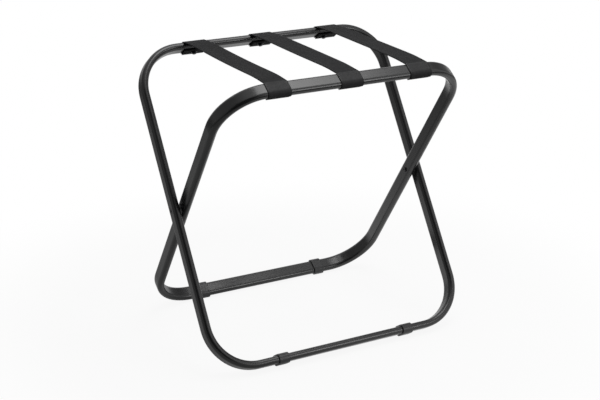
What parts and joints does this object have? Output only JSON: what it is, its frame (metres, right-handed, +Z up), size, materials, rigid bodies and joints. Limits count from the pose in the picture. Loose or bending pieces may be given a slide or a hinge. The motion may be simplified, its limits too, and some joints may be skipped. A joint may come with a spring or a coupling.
{
  "type": "folding luggage bench",
  "caption": "Folding X-frame luggage bench of flat-oval steel tube, with webbing straps screwed under its top bars and sleeve glides on its floor bars.",
  "frame": {"origin": "on the floor, midway between the legs and under the pivot axis", "axes": "+X to the bench's right along the pivot axis, +Y to the back, +Z up; the outer frame's bottom bar is at the front and the inner frame's is at the back"},
  "size_m": [0.56, 0.3958, 0.5616],
  "materials": {
    "frame_paint": "satin black powder coat",
    "glide_rubber": "moulded black rubber",
    "black_steel": "black plated",
    "zinc_steel": "bright zinc plated",
    "black_nylon": "moulded black nylon",
    "webbing": "plain-woven black polyester webbing"
  },
  "bodies": {
    "outer": {"outer_frame": "frame_paint", "front_left_glide": "glide_rubber", "front_right_glide": "glide_rubber", "left_pivot_bolt": "black_steel", "right_pivot_bolt": "black_steel", "left_leg_sleeve": "zinc_steel", "right_leg_sleeve": "zinc_steel", "left_spacer_washer": "black_nylon", "right_spacer_washer": "black_nylon", "left_sleeve_nut": "black_steel", "right_sleeve_nut": "black_steel", "left_strap": "webbing", "middle_strap": "webbing", "right_strap": "webbing", "left_strap_back_screw": "black_steel", "middle_strap_back_screw": "black_steel", "right_strap_back_screw": "black_steel"},
    "inner": {"inner_frame": "frame_paint", "back_left_glide": "glide_rubber", "back_right_glide": "glide_rubber", "left_pivot_bush": "black_nylon", "right_pivot_bush": "black_nylon", "left_strap_front_screw": "black_steel", "middle_strap_front_screw": "black_steel", "right_strap_front_screw": "black_steel"}
  },
  "joints": [
    {"name": "fold", "type": "hinge", "parent": "outer", "child": "inner", "pos_m": [0, 0, 0.27952], "axis": [-1, 0, 0], "range_deg": [0, 62], "deforming": ["left_strap", "middle_strap", "right_strap"]}
  ]
}
